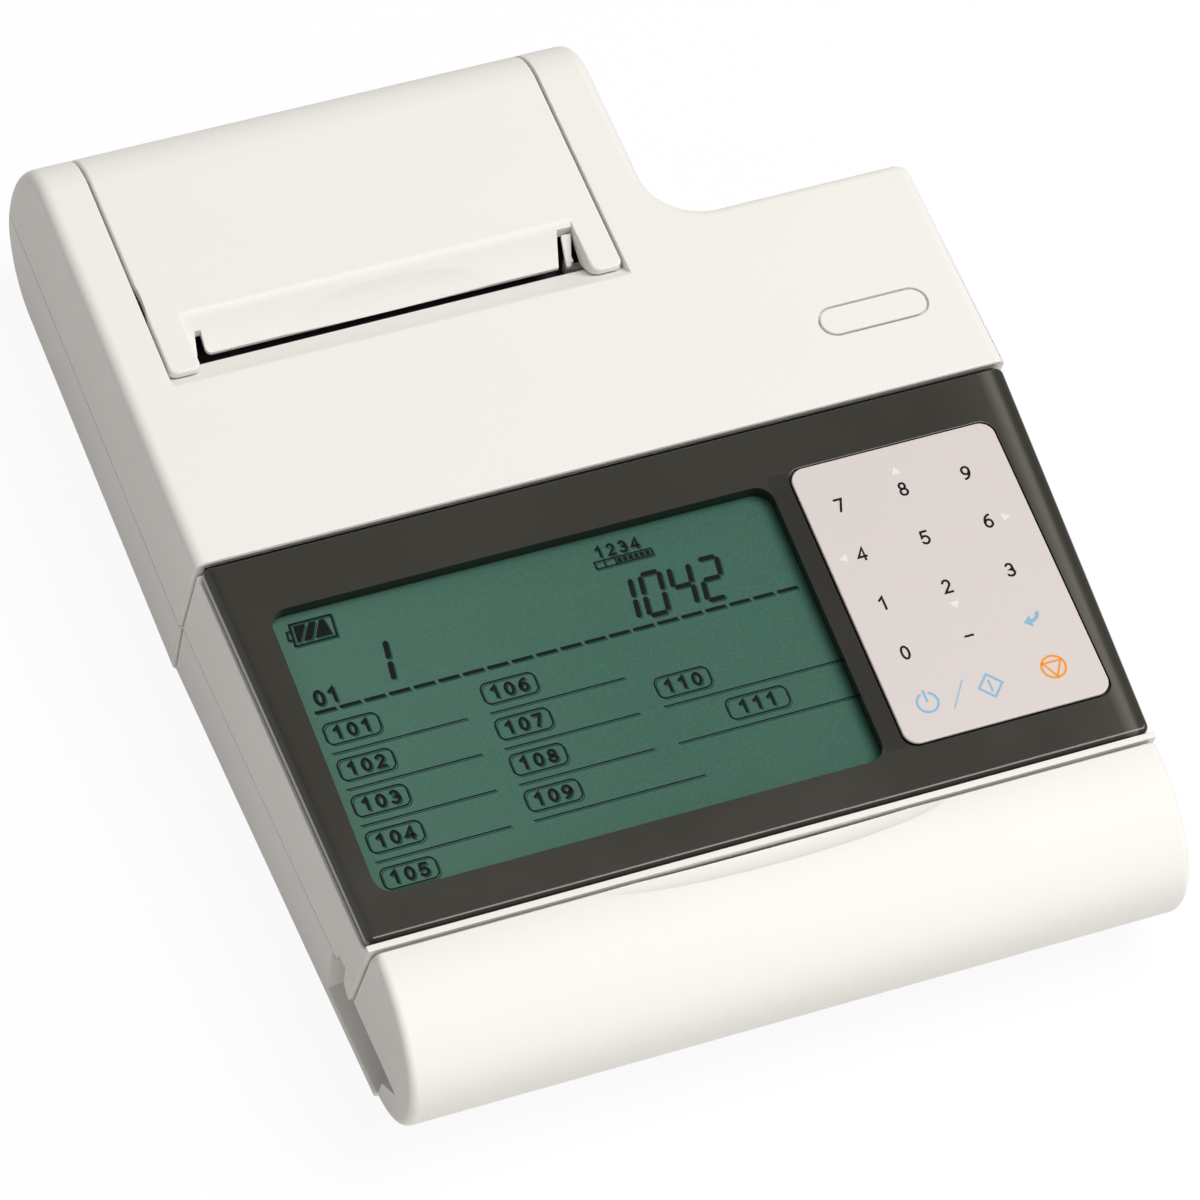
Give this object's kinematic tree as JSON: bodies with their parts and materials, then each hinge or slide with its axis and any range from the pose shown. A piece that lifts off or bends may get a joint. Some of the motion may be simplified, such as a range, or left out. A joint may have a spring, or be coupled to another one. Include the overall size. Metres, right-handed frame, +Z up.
{
  "type": "urine analyzer",
  "caption": "Flat desk analyzer for urine test strips, with a tilted display and key panel, a rear paper printer tower and a strip drawer behind its rounded front.",
  "frame": {"origin": "on the table under the middle of the unit", "axes": "+X to the user's right, +Y from the drawer front to the back, +Z up"},
  "size_m": [0.1284, 0.1702, 0.0362],
  "materials": {
    "white_case": "fine satin moulded, warm white",
    "dark_panel": "gloss, dark brown grey",
    "display_green": "smooth, grey green liquid crystal",
    "clear_white": "smooth light guide",
    "key_field": "fine grained film",
    "key_rubber": "matt moulded",
    "circuit_board": "solder mask",
    "steel": "brushed",
    "bright_steel": "bright",
    "black_plastic": "fine grained",
    "grey_plastic": "moulded",
    "rubber": "matt",
    "paper": "smooth thermal paper",
    "battery_wrap": "printed sleeve without words"
  },
  "bodies": {
    "case": {"rear_upper_case": "white_case", "rear_lower_case": "white_case", "front_upper_case": "white_case", "front_lower_case": "white_case", "oval_inlay": "white_case", "battery_door": "white_case", "display_panel": "dark_panel", "lcd_glass": "display_green", "light_guide": "clear_white", "key_sheet": "key_field", "key_board": "circuit_board", "main_board": "circuit_board", "socket_board": "circuit_board", "case_screw_1": "steel", "case_screw_2": "steel", "cover_hinge_pin": "steel", "tray_rail_left": "steel", "tray_rail_right": "steel", "tray_motor": "steel", "printer_motor": "steel", "battery_contact_left": "bright_steel", "battery_contact_right": "bright_steel", "power_inlet": "black_plastic", "data_port": "black_plastic", "optical_head": "black_plastic", "printer_frame": "grey_plastic", "print_head": "grey_plastic", "foot_1": "rubber", "foot_2": "rubber", "foot_3": "rubber", "foot_4": "rubber", "battery_1": "battery_wrap", "battery_2": "battery_wrap", "battery_3": "battery_wrap", "battery_4": "battery_wrap"},
    "printer_cover": {"printer_cover": "white_case"},
    "paper_roll": {"paper_roll": "paper", "roll_shaft": "grey_plastic"},
    "platen": {"platen_roller": "rubber", "platen_gear": "grey_plastic"},
    "printer_motor_gear": {"printer_motor_gear": "bright_steel"},
    "drawer": {"drawer_front": "white_case", "strip_tray": "grey_plastic", "white_reference": "paper", "tray_rack": "grey_plastic"},
    "tray_pinion": {"tray_pinion": "bright_steel"},
    "key_7": {"key_7": "key_rubber"},
    "key_8": {"key_8": "key_rubber"},
    "key_9": {"key_9": "key_rubber"},
    "key_4": {"key_4": "key_rubber"},
    "key_5": {"key_5": "key_rubber"},
    "key_6": {"key_6": "key_rubber"},
    "key_1": {"key_1": "key_rubber"},
    "key_2": {"key_2": "key_rubber"},
    "key_3": {"key_3": "key_rubber"},
    "key_0": {"key_0": "key_rubber"},
    "key_minus": {"key_minus": "key_rubber"},
    "key_enter": {"key_enter": "key_rubber"},
    "key_start": {"key_start": "key_rubber"},
    "key_stop": {"key_stop": "key_rubber"}
  },
  "joints": [
    {"name": "printer_cover_hinge", "type": "hinge", "parent": "case", "child": "printer_cover", "pos_m": [-0.0205, 0.08217, 0.02], "axis": [-1, 0, 0], "range_deg": [0, 90]},
    {"name": "paper_roll_spin", "type": "hinge", "parent": "case", "child": "paper_roll", "pos_m": [-0.0205, 0.06, 0.0196], "axis": [1, 0, 0], "continuous": true},
    {"name": "platen_spin", "type": "hinge", "parent": "case", "child": "platen", "pos_m": [-0.0205, 0.04115, 0.025], "axis": [1, 0, 0], "continuous": true},
    {"name": "printer_motor_spin", "type": "hinge", "parent": "case", "child": "printer_motor_gear", "pos_m": [0.014, 0.04115, 0.0146], "axis": [1, 0, 0], "continuous": true},
    {"name": "drawer_slide", "type": "slide", "parent": "case", "child": "drawer", "axis": [0, -1, 0], "range_m": [0, 0.05]},
    {"name": "tray_pinion_spin", "type": "hinge", "parent": "case", "child": "tray_pinion", "pos_m": [0.02142, -0.052, 0.01], "axis": [0, 0, 1], "range_deg": [0, 480]},
    {"name": "key_7_press", "type": "slide", "parent": "case", "child": "key_7", "axis": [0, 0.0698, -0.9976], "range_m": [0, 0.0004], "stiffness_N_per_m": 800},
    {"name": "key_8_press", "type": "slide", "parent": "case", "child": "key_8", "axis": [0, 0.0698, -0.9976], "range_m": [0, 0.0004], "stiffness_N_per_m": 800},
    {"name": "key_9_press", "type": "slide", "parent": "case", "child": "key_9", "axis": [0, 0.0698, -0.9976], "range_m": [0, 0.0004], "stiffness_N_per_m": 800},
    {"name": "key_4_press", "type": "slide", "parent": "case", "child": "key_4", "axis": [0, 0.0698, -0.9976], "range_m": [0, 0.0004], "stiffness_N_per_m": 800},
    {"name": "key_5_press", "type": "slide", "parent": "case", "child": "key_5", "axis": [0, 0.0698, -0.9976], "range_m": [0, 0.0004], "stiffness_N_per_m": 800},
    {"name": "key_6_press", "type": "slide", "parent": "case", "child": "key_6", "axis": [0, 0.0698, -0.9976], "range_m": [0, 0.0004], "stiffness_N_per_m": 800},
    {"name": "key_1_press", "type": "slide", "parent": "case", "child": "key_1", "axis": [0, 0.0698, -0.9976], "range_m": [0, 0.0004], "stiffness_N_per_m": 800},
    {"name": "key_2_press", "type": "slide", "parent": "case", "child": "key_2", "axis": [0, 0.0698, -0.9976], "range_m": [0, 0.0004], "stiffness_N_per_m": 800},
    {"name": "key_3_press", "type": "slide", "parent": "case", "child": "key_3", "axis": [0, 0.0698, -0.9976], "range_m": [0, 0.0004], "stiffness_N_per_m": 800},
    {"name": "key_0_press", "type": "slide", "parent": "case", "child": "key_0", "axis": [0, 0.0698, -0.9976], "range_m": [0, 0.0004], "stiffness_N_per_m": 800},
    {"name": "key_minus_press", "type": "slide", "parent": "case", "child": "key_minus", "axis": [0, 0.0698, -0.9976], "range_m": [0, 0.0004], "stiffness_N_per_m": 800},
    {"name": "key_enter_press", "type": "slide", "parent": "case", "child": "key_enter", "axis": [0, 0.0698, -0.9976], "range_m": [0, 0.0004], "stiffness_N_per_m": 800},
    {"name": "key_start_press", "type": "slide", "parent": "case", "child": "key_start", "axis": [0, 0.0698, -0.9976], "range_m": [0, 0.0004], "stiffness_N_per_m": 800},
    {"name": "key_stop_press", "type": "slide", "parent": "case", "child": "key_stop", "axis": [0, 0.0698, -0.9976], "range_m": [0, 0.0004], "stiffness_N_per_m": 800}
  ],
  "couplings": [
    {"joint": "printer_motor_spin", "follows": "platen_spin", "ratio": -1.1667},
    {"joint": "tray_pinion_spin", "follows": "drawer_slide", "rad_per_m": 166.67}
  ]
}
